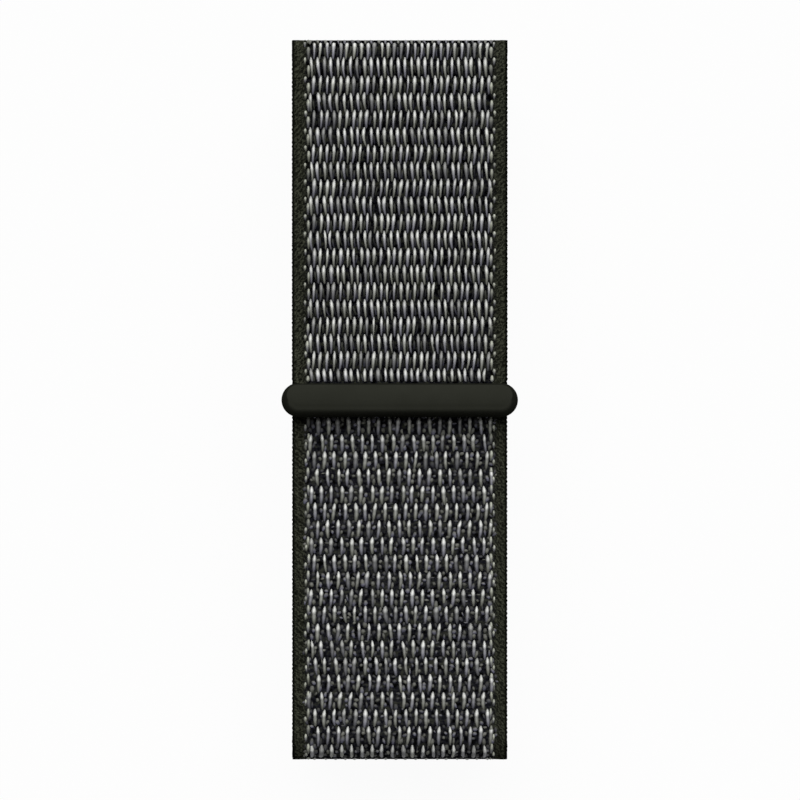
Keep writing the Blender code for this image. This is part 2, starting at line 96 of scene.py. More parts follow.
def multiplied(tree, first, second):
    return addNode(tree, "Mix", {"data_type": "RGBA", "blend_type": "MULTIPLY", 0: 1.0},
                   {6: first, 7: second}).outputs[2]


def addBump(tree, shader, height, strength, distance):
    bump = addNode(tree, "Bump", {"Strength": strength, "Distance": distance}, {"Height": height})
    tree.links.new(bump.outputs[0], shader.inputs["Normal"])


def setRamp(ramp, stops):
    points = ramp.color_ramp.elements
    while len(points) < len(stops):
        points.new(1.0)
    for point, (place, colour) in zip(points, stops):
        point.position = place
        point.color = colour


def smoothFaces(bm):
    for face in bm.faces:
        face.smooth = True


def openEdges(bm):
    return [edge for edge in bm.edges if edge.is_boundary]


def meshFrom(bm, name):
    mesh = bpy.data.meshes.new(name)
    bm.to_mesh(mesh)
    bm.free()
    return mesh


def addObject(name, data):
    made = bpy.data.objects.new(name, data)
    bpy.context.scene.collection.objects.link(made)
    return made


def shapedMesh(holder):
    # The holder's mesh with its modifiers applied
    bpy.context.view_layer.update()
    return bpy.data.meshes.new_from_object(holder.evaluated_get(bpy.context.evaluated_depsgraph_get()))


def addPiece(name, mesh, material=None, body=None, replaced=()):
    made = addObject(name, mesh)
    if material:
        made.data.materials.clear()
        made.data.materials.append(material)
    if replaced:
        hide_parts(*replaced)
    if body:
        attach(made, body)
    return made


def getPlaces(mesh):
    flat = np.empty(len(mesh.vertices) * 3, np.float32)
    mesh.vertices.foreach_get("co", flat)
    return flat.reshape(-1, 3).astype(float)


def setPlaces(mesh, places):
    mesh.vertices.foreach_set("co", places.astype(np.float32).ravel())
    mesh.update()


def setAttribute(mesh, name, kind, values):
    made = mesh.attributes.new(name, kind, "POINT")
    field = "vector" if kind == "FLOAT_VECTOR" else "value"
    made.data.foreach_set(field, values.astype(np.float32).ravel())


def smoothStep(values, low, high):
    share = np.clip((values - low) / (high - low), 0, 1)
    return share * share * (3 - 2 * share)


# The webbing's middle line, from its sewn end round the loop to the end tab

joints = {joint["name"]: joint for joint in frame["joints"]}
webbing = {
    "width": 22.0 * mm,
    "thickness": 1.6 * mm,
    "layerGap": 0.5 * mm,
    "frontFold": 3.2 * mm,      # outside radius, as are the next two
    "innerFold": 2.4 * mm,
    "backFold": 7.0 * mm,
    "pinWrap": 0.85 * mm,       # inside radius round a strap pin
    "foldedEnd": 9.0 * mm,
    "ramp": 4.5 * mm,           # run over which a layer climbs to the turn round its pin
    "tabGap": 0.2 * mm,
    "foldBulge": 0.23 * mm,     # the cloth stands proud of its solid at the folds
    "frontSpread": 0.008,       # the lower layer lies a little wider where the tail presses it flat
    "spreadRun": 8 * mm,        # run over which it widens
    "foldSpread": 5.2,          # widening per metre of depth as the cloth turns down into a front fold
    "spreadDepth": 3.5 * mm,    # depth at which it stops widening
    "spreadHeights": (13.5 * mm, 17.5 * mm),    # it fades in between these heights over the table
    "shoulderDepth": 2.0 * mm,  # depth at which a front fold turns out of sight from above
    "shoulderReach": 0.55 * mm,
    "step": 0.06 * mm,          # between the path's points on a fold
    "rampPoints": 41,
}
layerStep = webbing["thickness"] + webbing["layerGap"]
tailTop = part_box("strap_tail")[1].z
frontLevel = tailTop - webbing["thickness"] / 2     # middle of the tail's front layer


def arc(centre, radius, start, end):
    count = max(4, round(math.radians(abs(end - start)) * radius / webbing["step"]))
    turns = np.radians(np.linspace(start, end, count + 1))
    return np.stack([centre[0] + radius * np.cos(turns), centre[1] + radius * np.sin(turns)], 1)


def ramp(start, end):
    along = np.linspace(0, 1, webbing["rampPoints"])[:, None]
    rise = (1 - np.cos(np.pi * along)) / 2
    return np.hstack([start[0] + (end[0] - start[0]) * along, start[1] + (end[1] - start[1]) * rise])


def webbingPath():
    # Its points in (y, z), the way along to each, and the way along to the end of each part
    half = webbing["thickness"] / 2
    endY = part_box("strap_band")[1].y + webbing["foldBulge"]
    loopTop = tailTop - layerStep
    pinY, pinZ = joints["connector_b_swing"]["pos_m"][1:]
    upperZ = half + layerStep
    turn = webbing["pinWrap"] + half
    back, front, inner = (webbing[fold] - half for fold in ("backFold", "frontFold", "innerFold"))
    backY = endY - webbing["backFold"]
    frontY = endY - webbing["frontFold"]
    innerY = endY - layerStep - webbing["innerFold"]
    backZ = webbing["backFold"]
    parts = [
        ("sewnEnd", np.array([[-pinY - webbing["foldedEnd"], upperZ]])),
        ("rampA", ramp((-pinY - webbing["ramp"], upperZ), (-pinY, pinZ + turn))),
        ("wrapA", arc((-pinY, pinZ), turn, 90, -90)),
        ("lowerFoldA", arc((-backY, backZ), back, -90, -180)),
        ("upperFoldA", arc((-frontY, loopTop - webbing["frontFold"]), front, 180, 90)),
        ("upperFoldB", arc((innerY, loopTop - webbing["innerFold"]), inner, 90, 0)),
        ("lowerFoldB", arc((backY, backZ), back - layerStep, 0, -90)),
        ("rampB", ramp((pinY + webbing["ramp"], upperZ), (pinY, pinZ + turn))),
        ("wrapB", arc((pinY, pinZ), turn, 90, 270)),
        ("lowerFoldTail", arc((backY, backZ), back, -90, 0)),
        ("upperFoldTail", arc((frontY, tailTop - webbing["frontFold"]), front, 0, 90)),
        ("tailEnd", np.array([[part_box("end_tab_outer")[1].y + webbing["tabGap"], frontLevel]])),
        ("tongueEnd", np.array([[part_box("strap_tail")[0].y, frontLevel]])),
    ]
    points, ends = [], {}
    for name, stretch in parts:
        for place in stretch:
            if not points or np.linalg.norm(place - points[-1]) > 1e-7:     # no point twice
                points.append(place)
        ends[name] = len(points) - 1
    points = np.array(points)
    steps = np.linalg.norm(np.diff(points, axis=0), axis=1)
    along = np.concatenate([[0], np.cumsum(steps)])
    return points, along, {name: along[index] for name, index in ends.items()}


pathPoints, pathAlong, marks = webbingPath()
pathHeading = np.gradient(pathPoints, pathAlong, axis=0)
pathHeading /= np.linalg.norm(pathHeading, axis=1)[:, None]
tailStart = (marks["lowerFoldTail"] + marks["upperFoldTail"] - webbing["frontFold"] * math.pi / 2) / 2
frontStart = marks["upperFoldA"]                   # where the front run starts, at -Y
frontEnd = marks["upperFoldB"] - webbing["spreadRun"]
print(f"webbing path: {pathAlong[-1] / mm:.1f} mm")


def pathY(along):
    return np.interp(along, pathAlong, pathPoints[:, 0])


def pathZ(along):
    return np.interp(along, pathAlong, pathPoints[:, 1])


def frontDepth(along):
    # How far the middle line has gone down from the level of its own front layer
    return np.where(along > tailStart, frontLevel, frontLevel - layerStep) - pathZ(along)


def wrap(flat):
    # (across, along, height) on the flat webbing to its place on the closed strap; height 0 is mid thickness
    along = flat[:, 1]
    y, z = pathY(along), pathZ(along)
    headY, headZ = (np.interp(along, pathAlong, pathHeading[:, k]) for k in (0, 1))
    size = np.hypot(headY, headZ)
    front = smoothStep(along, frontStart - webbing["spreadRun"], frontStart)
    front = front * smoothStep(-along, -marks["upperFoldB"], -frontEnd)
    depth = np.clip(frontDepth(along), 0, webbing["spreadDepth"])
    fold = webbing["foldSpread"] * depth * smoothStep(z, *webbing["spreadHeights"])
    across = flat[:, 0] * (1 + webbing["frontSpread"] * front + fold)
    return np.stack([across, y - headZ / size * flat[:, 2], z + headY / size * flat[:, 2]], 1)


def shoulder(along):
    # 1 where the cloth turns over a front fold's end: there it is drawn level, its yarns sink, and they carry
    # painted shade
    return np.exp(-((frontDepth(along) - webbing["shoulderDepth"]) / webbing["shoulderReach"]) ** 2)


# Materials

bandScale = 0.314           # a wave texture's scale is this over the distance between its bands
diagonalScale = 0.628       # the same for diagonal bands, with the distance along an axis


def yarnMaterial(name, look):
    # Texturised nylon filament yarn: thousands of fine filaments make it matt with a soft silky sheen
    material, tree, shader = newMaterial(name, {
        "Roughness": look["roughness"], "IOR": 1.53, "Sheen Weight": look["sheen"], "Sheen Roughness": 0.4,
        "Specular IOR Level": look["gloss"]})
    shade, hue, along, crest = (addNode(tree, "Attribute", {"attribute_name": layer}).outputs["Fac"]
                                for layer in ("shade", "hue", "along", "crest"))
    dye = addNode(tree, "Mix", {"data_type": "RGBA", 6: linear(look["green"]), 7: linear(look["violet"])},
                  {0: hue}).outputs[2]
    # Painted highlight: the head is painted near white, running into the yarn's dye towards its end
    paintedHeadLight = addNode(tree, "MapRange", {"From Min": 0.2, "From Max": 0.75}, {0: along})
    tint = addNode(tree, "Mix", {"data_type": "RGBA", 6: linear(look["head"])}, {0: paintedHeadLight, 7: dye}).outputs[2]
    # Painted light: each yarn is painted paler on its crest, and painted darker where it dives and down its
    # flanks
    for source, stops in ((along, look["fade"]), (crest, look["flank"])):
        grey = addNode(tree, "ValToRGB", {}, {0: source})
        setRamp(grey, [(place, (value, value, value, 1)) for place, value in stops])
        tint = multiplied(tree, tint, grey)
    tree.links.new(multiplied(tree, tint, shade), shader.inputs["Base Color"])
    # Filaments lie along the yarn, drawn as coarse ridges so that they show
    uv = addNode(tree, "UVMap", {"uv_map": "yarn"})
    filaments = addNode(tree, "TexWave", {
        "bands_direction": "X", "Scale": look["ridgeScale"], "Distortion": 2.5, "Detail": 2.0,
        "Detail Scale": 2.0}, {0: uv})
    addBump(tree, shader, filaments.outputs["Fac"], 0.6, look["ridgeHeight"])
    return material


yarnLook = {
    "head": "#F6F7F2",
    "green": "#CACCBF",
    "violet": "#BFBFCE",
    "roughness": 0.5,
    "sheen": 0.05,
    "gloss": 0.2,
    "ridgeScale": 1.6,          # makes about five ridges round a yarn
    "ridgeHeight": 0.02 * mm,
    "flank": ((0.0, 0.04), (0.35, 0.12), (0.7, 0.6), (0.92, 1.0)),      # painted shade, as brightness from flank to crest
}
# Along each yarn, from head to end, its brightness is painted: painted highlight at the head and painted
# shade where it dives
skinYarn = yarnMaterial("nylonLoopYarnSkinSide", dict(yarnLook, fade=(
    (0.0, 0.3), (0.1, 0.52), (0.18, 0.78), (0.25, 0.96), (0.32, 1.0), (0.37, 0.84), (0.42, 0.66), (0.5, 0.57),
    (0.67, 0.41), (0.86, 0.22), (1.0, 0.08))))
faceYarn = yarnMaterial("nylonLoopYarnFaceSide", dict(yarnLook, fade=(
    (0.0, 0.35), (0.12, 0.7), (0.22, 0.98), (0.28, 1.0), (0.34, 0.72), (0.39, 0.48), (0.44, 0.43),
    (0.54, 0.49), (0.61, 0.47), (0.7, 0.37), (0.8, 0.27), (1.0, 0.12))))
pileYarn = yarnMaterial("nylonPileYarnDark", dict(
    yarnLook, head="#42433E", green="#3F413A", violet="#40404E", sheen=0.0, gloss=0.05,
    flank=((0.0, 0.1), (0.3, 0.3), (0.6, 0.85), (0.9, 1.0)), fade=((0.0, 0.8), (0.4, 1.0), (1.0, 0.5))))
bindYarn = yarnMaterial("nylonBindingYarnDark", dict(
    yarnLook, head="#7C7C77", green="#74756C", violet="#76768A", sheen=0.0, gloss=0.05,
    flank=((0.0, 0.2), (0.3, 0.35), (0.6, 0.75), (0.95, 1.0)), fade=((0.0, 0.6), (0.4, 1.0), (1.0, 0.5))))
edgeYarn = yarnMaterial("nylonEdgeYarn", dict(
    yarnLook, head="#C8CBBC", green="#9C9E90", violet="#98989E", gloss=0.1,
    fade=((0.0, 0.7), (0.3, 1.0), (0.6, 0.6), (1.0, 0.3))))


weave = {
    "blotch": 0.6 * mm,         # in the dark ground under the loops
    "twill": 0.55 * mm,
    "mottle": 0.32 * mm,        # in the selvedge
    "pick": 0.44 * mm,          # from weft to weft
    "relief": 0.05 * mm,
    "stray": 1.4 * mm,          # how unevenly the selvedge's colour begins
    "selvedge": (10.0 * mm, 10.7 * mm),     # from the middle, stray included: none of it, and all of it
    # Painted shade along both rims: across from the middle, and up from mid thickness
    "outerWarp": (10.66 * mm, 10.84 * mm),
    "rim": (0.25 * mm, 0.5 * mm),           # heights from mid thickness
}


def clothMaterial():
    # Webbing of solution-dyed nylon: near black under the loops, running into twill edges of mottled olive
    material, tree, shader = newMaterial("wovenNylonWebbing", {
        "Roughness": 0.75, "IOR": 1.53, "Specular IOR Level": 0.0})
    lay = addNode(tree, "Attribute", {"attribute_name": "lay"}).outputs["Vector"]
    parts = addNode(tree, "SeparateXYZ", {}, {0: lay}).outputs
    fromMiddle = addNode(tree, "Math", {"operation": "ABSOLUTE"}, {0: parts["X"]})
    fromCore = addNode(tree, "Math", {"operation": "ABSOLUTE"}, {0: parts["Z"]})
    ground = addNode(tree, "TexNoise", {
        "Scale": 1 / weave["blotch"], "Detail": 3.0, "Roughness": 0.6}, {0: lay})
    skinGround = addNode(tree, "ValToRGB", {}, {0: ground})
    setRamp(skinGround, [(0.4, linear("#020202")), (0.5, linear("#111116")), (0.63, linear("#25261F"))])
    faceGround = addNode(tree, "ValToRGB", {}, {0: ground})
    setRamp(faceGround, [(0.38, linear("#060605")), (0.5, linear("#18181E")), (0.64, linear("#2F302A"))])
    faceShare = addNode(tree, "Math", {"operation": "GREATER_THAN", 1: 0.0}, {0: parts["Z"]})
    field = addNode(tree, "Mix", {"data_type": "RGBA"}, {0: faceShare, 6: skinGround, 7: faceGround})
    # The selvedge: a fine twill that shows as blotches of lighter and darker olive
    twill = addNode(tree, "TexWave", {
        "bands_direction": "DIAGONAL", "Scale": diagonalScale / weave["twill"], "Distortion": 9.0,
        "Detail": 3.0, "Detail Scale": 2.5}, {0: lay})
    mottle = addNode(tree, "TexNoise", {
        "Scale": 1 / weave["mottle"], "Detail": 3.0, "Roughness": 0.75}, {0: lay})
    blotch = addNode(tree, "Mix", {"data_type": "FLOAT", 0: 0.7}, {2: twill.outputs["Fac"], 3: mottle})
    twillColour = addNode(tree, "ValToRGB", {}, {0: blotch})
    setRamp(twillColour, [(0.3, linear("#10110C")), (0.5, linear("#25261F")), (0.72, linear("#434539"))])
    strayed = addNode(tree, "Math", {"operation": "MULTIPLY_ADD", 1: weave["stray"]},
                      {0: mottle, 2: fromMiddle})
    share, outer, rim = (
        addNode(tree, "MapRange", {"From Min": weave[zone][0], "From Max": weave[zone][1]}, {0: source})
        for zone, source in (("selvedge", strayed), ("outerWarp", fromMiddle), ("rim", fromCore)))
    woven = addNode(tree, "Mix", {"data_type": "RGBA"}, {0: share, 6: field.outputs[2], 7: twillColour})
    # Painted shade: a thin dark line is painted along both rims, on the cloth's faces next to its edge
    line = addNode(tree, "Math", {"operation": "MULTIPLY"}, {0: outer, 1: rim})
    rimShadedColour = addNode(tree, "Mix", {"data_type": "RGBA", 7: linear("#0A0B08")}, {0: line, 6: woven.outputs[2]})
    tree.links.new(rimShadedColour.outputs[2], shader.inputs["Base Color"])
    picks = addNode(tree, "TexWave", {"bands_direction": "Y", "Scale": bandScale / weave["pick"],
                                      "Distortion": 1.5, "Detail": 2.0}, {0: lay})
    height = addNode(tree, "Mix", {"data_type": "FLOAT"}, {0: share, 2: picks.outputs["Fac"], 3: mottle})
    addBump(tree, shader, height, 0.8, weave["relief"])
    return material


def mouldedMaterial(name, colour, wall):
    # Injection-moulded nylon with the fine grain of an eroded mould. wall is how bright its upright faces are
    # painted beside its level ones: painted shade darkens the tab's walls, and painted light makes the hooks'
    # stems paler
    material, tree, shader = newMaterial(name, {"Roughness": 0.7, "IOR": 1.53, "Specular IOR Level": 0.0})
    coordinates = addNode(tree, "TexCoord").outputs
    place = coordinates["Object"]
    tone = addNode(tree, "TexNoise", {"Scale": 1 / (3 * mm), "Detail": 3.0}, {0: place})
    shadeRamp = addNode(tree, "ValToRGB", {}, {0: tone})
    setRamp(shadeRamp, [(0.3, linear(colour[0])), (0.7, linear(colour[1]))])
    # Painted light by the object-space normal: upright faces are painted darker on the tab, as shade, and
    # paler on the hooks, as light
    facing = addNode(tree, "SeparateXYZ", {}, {0: coordinates["Normal"]}).outputs["Z"]
    level = addNode(tree, "Math", {"operation": "ABSOLUTE"}, {0: facing})
    paintedWallLight = addNode(tree, "MapRange", {"From Min": 0.35, "From Max": 0.85, "To Min": wall}, {0: level})
    tree.links.new(multiplied(tree, shadeRamp, paintedWallLight), shader.inputs["Base Color"])
    grain = addNode(tree, "TexNoise", {
        "Scale": 1 / (0.08 * mm), "Detail": 2.0, "Roughness": 0.7}, {0: place})
    addBump(tree, shader, grain.outputs["Fac"], 0.25, 0.01 * mm)
    return material


def steelMaterial(name, look):
    # Stainless steel: the coating's or polish's own tone, with the marks of how it was finished
    material, tree, shader = newMaterial(name, {"Metallic": 1.0, "Base Color": linear(look["colour"])})
    place = addNode(tree, "TexCoord").outputs["Object"]
    grain = addNode(tree, "TexNoise", {
        "Scale": 1 / look["grain"], "Detail": 3.0, "Roughness": 0.7}, {0: place})
    rough = addNode(tree, "MapRange", {"To Min": look["rough"][0], "To Max": look["rough"][1]}, {0: grain})
    tree.links.new(rough.outputs[0], shader.inputs["Roughness"])
    addBump(tree, shader, grain.outputs["Fac"], 0.3, look["depth"])
    return material


def threadMaterial():
    # Twisted polyester sewing thread, dyed dark olive, with painted shade: it is painted darker in the
    # grooves between its plies
    material, tree, shader = newMaterial("polyesterSewingThread", {
        "Roughness": 0.55, "IOR": 1.57, "Sheen Weight": 0.2})
    place = addNode(tree, "TexCoord").outputs["Object"]
    tone = addNode(tree, "TexNoise", {"Scale": 1 / (0.4 * mm), "Detail": 2.0}, {0: place})
    colour = addNode(tree, "ValToRGB", {}, {0: tone})
    setRamp(colour, [(0.3, linear("#383A31")), (0.7, linear("#515448"))])
    ply = addNode(tree, "Attribute", {"attribute_name": "ply"}).outputs["Fac"]
    # Painted shade: the grooves between the plies are painted darker
    groove = addNode(tree, "MapRange", {"From Min": 0.7, "From Max": 0.95, "To Min": 0.3}, {0: ply})
    tree.links.new(multiplied(tree, colour, groove), shader.inputs["Base Color"])
    return material


clothNylon = clothMaterial()
tabNylon = mouldedMaterial("mouldedNylonTab", ("#2B2C26", "#2E2F29"), 0.55)
hookNylon = mouldedMaterial("mouldedNylonHooks", ("#2A2B26", "#363831"), 2.6)
coatedSteel = steelMaterial("coatedSteelBeadBlasted", {
    "colour": "#4A4A4C", "grain": 0.12 * mm, "rough": (0.3, 0.45), "depth": 0.01 * mm})
brightSteel = steelMaterial("turnedSteelPolished", {
    "colour": "#C4C5C6", "grain": 0.3 * mm, "rough": (0.12, 0.3), "depth": 0.003 * mm})
sewingThread = threadMaterial()
print("materials made")


# Cloth of the webbing: the dark ground between two woven edges

cloth = {
    "core": 1.14 * mm,          # thickness under the loops
    "edgeBand": 1.28 * mm,      # width of each selvedge
    "edgeThickness": 1.48 * mm,
    "edgeSlope": 2.2,           # the thickness is full after 1 / 2.2 of the selvedge's width
    "edgeRound": 0.12 * mm,
    "scallopPitch": 0.4388 * mm,    # the weft turns back at the edge four times a row
    "scallopDepth": 0.05 * mm,
    "scallopReach": 0.6 * mm,   # how far from the rim it goes
    "scallopVary": 0.4,         # no two turns are alike
    "scallopBeat": 0.29,
    "twillDepth": 0.015 * mm,
    "twillPitch": 0.5 * mm,
    "twillShare": 0.75,         # share of the selvedge, from its rim, that has the full depth
    "foldLevels": (1.1, 0.86),  # share of the core's and the edges' thickness at a front fold's shoulder
    "rowStep": 0.1097 * mm,
    "fieldCells": 4,            # the field is flat across, so a few do
    "edgeCells": 10,
    "roundCells": 6,
}


def clothSection():
    # Half of the closed section in (across, height), from the middle of the face side round the right edge
    half = webbing["width"] / 2
    inner = half - cloth["edgeBand"]
    core, edge, bend = cloth["core"] / 2, cloth["edgeThickness"] / 2, cloth["edgeRound"]
    field = np.linspace(0, inner, cloth["fieldCells"] // 2 + 1)
    top = [(x, core) for x in field]
    crownEnd = half - bend
    for share in np.linspace(0, 1, cloth["edgeCells"] + 1)[1:]:
        height = core + (edge - core) * min(1, share * cloth["edgeSlope"])
        top.append((inner + (crownEnd - inner) * share, height))
    turns = np.radians(np.linspace(90, 0, cloth["roundCells"] // 2 + 1))[1:]
    top += [(crownEnd + bend * math.cos(turn), edge - bend + bend * math.sin(turn)) for turn in turns]
    under = [(x, -height) for x, height in reversed(top)]
    right = top + under
    left = [(-x, height) for x, height in reversed(right[1:-1])]
    return np.array(right + left)


def clothPiece(name, start, end, press):
    # press is how one end is flattened, from its start on the webbing to where it has its full share
    section = clothSection()
    around = len(section)
    rows = round((end - start) / cloth["rowStep"])
    bm = bmesh.new()
    bmesh.ops.create_grid(bm, x_segments=around, y_segments=rows, size=0.5)
    mesh = meshFrom(bm, name)
    grid = getPlaces(mesh) + 0.5
    column = np.round(grid[:, 0] * around).astype(int) % around
    across, height = section[column].T
    along = start + grid[:, 1] * (end - start)
    half = webbing["width"] / 2
    fromEdge = half - np.abs(across)
    inBand = smoothStep(-fromEdge, -cloth["edgeBand"], -cloth["edgeBand"] * cloth["twillShare"])
    outer = smoothStep(-fromEdge, -cloth["scallopReach"], 0)
    turn = 2 * np.pi * along / cloth["scallopPitch"]
    vary = cloth["scallopVary"]
    scallop = np.cos(turn) * (1 - vary + vary * np.cos(cloth["scallopBeat"] * turn + np.sign(across)))
    across = across + np.sign(across) * outer * cloth["scallopDepth"] * scallop
    slant = np.sign(height) * np.sign(across)
    twill = np.sin(2 * np.pi * (along / cloth["scallopPitch"] + slant * fromEdge / cloth["twillPitch"]))
    height = height + np.sign(height) * inBand * cloth["twillDepth"] * twill
    level = np.interp(np.abs(height), (cloth["core"] / 2, cloth["edgeThickness"] / 2), cloth["foldLevels"])
    height = height * (1 + (level - 1) * shoulder(along))
    share = smoothStep(along, press["start"], press["full"])
    height = height * (1 + (press["thickness"] - 1) * share) + press["lift"] * share
    across = across * (1 + (press["width"] - 1) * share)
    flat = np.stack([across, along, height], 1)
    setPlaces(mesh, wrap(flat))
    setAttribute(mesh, "lay", "FLOAT_VECTOR", flat)
    bm = bmesh.new()
    bm.from_mesh(mesh)
    bmesh.ops.remove_doubles(bm, verts=bm.verts, dist=0.0005 * mm)      # closes the section
    bmesh.ops.holes_fill(bm, edges=openEdges(bm), sides=0)
    bmesh.ops.recalc_face_normals(bm, faces=bm.faces)
    smoothFaces(bm)
    bm.to_mesh(mesh)
    bm.free()
    mesh.materials.append(clothNylon)
    return mesh


sewnPress = {"start": 0.9 * mm, "full": 0.0, "thickness": 0.6, "lift": 0.0, "width": 0.995}
tonguePress = {"start": marks["tailEnd"], "full": marks["tailEnd"] + 0.35 * mm, "thickness": 0.62,
               "lift": -0.45 * mm, "width": 0.92}
addPiece("strap_band_cloth", clothPiece("strap_band_cloth", 0, tailStart, sewnPress),
         body="band", replaced=("strap_band",))
tailCloth = addPiece("strap_tail_cloth", clothPiece(
    "strap_tail_cloth", tailStart, marks["tongueEnd"], tonguePress),
    replaced=("strap_tail",))
print("cloth made")


# Loops and binding yarns: each family repeats one small spindle over the cloth

rows = {
    "skinPitch": 1.758 * mm,
    "facePitch": 1.772 * mm,
    "skinHeadY": 3.48 * mm,         # a head's top on the tail's outer side, from the photograph
    "faceHeadY": -3.3 * mm,         # the same on the front below the tab
    "overhang": 0.13 * mm,          # how far the last loops lean over the gap before the tab
    "sink": 0.12 * mm,              # how far the yarns are drawn down at a fold's shoulder
    "dimming": 0.45,                # and how much darker they are painted there, as painted shade
    "flipShare": 0.2,               # share of the yarns that have their neighbours' colour
    "dimHue": 0.75,                 # colour of the dim ones, from green at 0 to violet at 1
    "stopSlant": 0.05 * mm,         # spreads the rings of a yarn that are held back at its stop
    "creaseStart": 1.3 * mm,        # the peel's crease begins so far on the +Y side of its axis
    "creaseEnd": 1.9 * mm,          # and ends so far on the -Y side
}
skinPhase = marks["tailEnd"] - (rows["skinHeadY"] - float(pathY(marks["tailEnd"])))
facePhase = frontStart + (rows["faceHeadY"] - float(pathY(frontStart)))


def spindle(family):
    bm = bmesh.new()
    bm.loops.layers.uv.new("yarn")
    bmesh.ops.create_uvsphere(bm, u_segments=family["sides"], v_segments=family["rings"], radius=0.5,
                              matrix=Matrix.Rotation(-math.pi / 2, 4, "X"), calc_uvs=True)
    smoothFaces(bm)
    return meshFrom(bm, family["name"])


def repeated(mesh, columns, rowCount):
    holder = addObject("holder", mesh)
    for axis, count in ((0, columns), (1, rowCount)):
        copies = holder.modifiers.new("copies", "ARRAY")
        copies.count = count
        copies.use_relative_offset = False
        copies.use_constant_offset = True
        copies.constant_offset_displace = [2.0 if k == axis else 0 for k in range(3)]
    made = shapedMesh(holder)
    bpy.data.objects.remove(holder, do_unlink=True)
    return made


def layYarns(name, family, side, start, end, stop):
    # side 1 is the face with the sparse loops, -1 the skin side with the dense ones; none goes past stop
    rng = np.random.default_rng(family["seed"])
    pitch, phase = (rows["facePitch"], facePhase) if side > 0 else (rows["skinPitch"], skinPhase)
    first = math.ceil((start - phase) / pitch)
    last = math.floor((end - phase) / pitch)
    template = spindle(family)
    unit = getPlaces(template)
    columns, rowCount = family["columns"], last - first + 1
    mesh = repeated(template, columns, rowCount)
    mesh.name = name
    spread = (rowCount, columns, 1)
    rowIndex = np.arange(first, last + 1)[:, None, None]
    columnIndex = np.arange(columns)[None, :, None]
    t = (0.5 - unit[:, 1])[None, None, :]
    radius = np.hypot(unit[:, 0], unit[:, 2])
    safe = np.where(radius > 1e-4, radius, 1)
    outX = np.where(radius > 1e-4, unit[:, 0] / safe, 0)[None, None, :]
    outZ = np.where(radius > 1e-4, unit[:, 2] / safe, 0)[None, None, :]
    dim = rng.random(spread) < family["dimShare"]
    shade = np.where(dim, family["dimShade"], 1.0) * (1 - family["shadeSpread"] * rng.random(spread))
    wide = np.where(dim, family["dimWidth"], 1.0) * (1 + family["widthSpread"] * rng.normal(size=spread))
    flip = rng.random(spread) < rows["flipShare"]
    hue = np.where(dim, rows["dimHue"], (columnIndex + rowIndex + flip) % 2)
    outline = np.interp(t, *zip(*family["outline"]))
    rise = np.interp(t, *zip(*family["rise"])) * mm
    shift = np.array(family["shifts"])[rowIndex % len(family["shifts"])]
    lean = family["rowSwing"] * rng.normal(size=(rowCount, 1, 1)) - family["lean"] * np.sign(shift)
    swing = (family["swing"] * rng.normal(size=spread) + lean) * t ** 2
    bow = family["bow"] * rng.normal(size=spread) * np.sin(np.pi * t)
    drift = family["drift"] * rng.normal(size=spread)
    x = family["firstX"] + shift + columnIndex * family["pitch"] + drift + swing + bow
    x = x + outX * outline * family["width"] / 2 * wide
    length = family["length"] * (1 + family["lengthSpread"] * rng.normal(size=spread))
    head = rowIndex * pitch + phase - side * family["offset"]
    head = head + side * family["drift"] * rng.normal(size=spread)
    along = np.minimum(head - side * t * length, stop - rows["stopSlant"] * t)
    shoulderSinkAndShade = shoulder(along)
    bulge = outZ * outline * family["thickness"] / 2
    height = side * (cloth["core"] / 2 + rise - rows["sink"] * shoulderSinkAndShade + bulge)
    flat = np.stack(np.broadcast_arrays(x, along, height), 3).reshape(-1, 3)
    setPlaces(mesh, wrap(flat))
    count = len(unit)
    # Painted shade: the yarns are painted darker at a fold's shoulder
    shade = np.broadcast_to(shade * (1 - rows["dimming"] * shoulderSinkAndShade), shoulderSinkAndShade.shape)
    setAttribute(mesh, "shade", "FLOAT", shade.ravel())
    setAttribute(mesh, "hue", "FLOAT", np.repeat(hue.ravel(), count))
    # The along and crest values carry painted light in the yarn materials: painted highlight on heads and
    # crests, painted shade where yarns dive and down their flanks
    setAttribute(mesh, "along", "FLOAT", np.broadcast_to(t, (rowCount, columns, count)).ravel())
    setAttribute(mesh, "crest", "FLOAT", np.broadcast_to(outZ, (rowCount, columns, count)).ravel())
    return mesh


skinLoops = {
    "name": "skin_loops", "seed": 11, "columns": 27, "pitch": 0.686 * mm, "firstX": -8.92 * mm,
    "shifts": (-0.1715 * mm, 0.1715 * mm), "width": 0.41 * mm, "thickness": 0.34 * mm, "length": 2.27 * mm,
    "offset": 0.0, "sides": 6, "rings": 7, "dimShare": 0.12, "dimShade": 0.5, "dimWidth": 1.05,
    "shadeSpread": 0.33, "widthSpread": 0.1, "lengthSpread": 0.03, "drift": 0.03 * mm,
    "swing": 0.06 * mm, "rowSwing": 0.03 * mm, "lean": 0.12 * mm, "bow": 0.06 * mm,
    "outline": ((0, 0), (0.05, 0.5), (0.19, 0.97), (0.39, 1.0), (0.61, 0.82), (0.81, 0.7), (0.95, 0.55),
                (1, 0)),
    "rise": ((0, -0.08), (0.08, 0.0), (0.25, 0.08), (0.5, 0.05), (0.8, -0.03), (1, -0.14)),
}
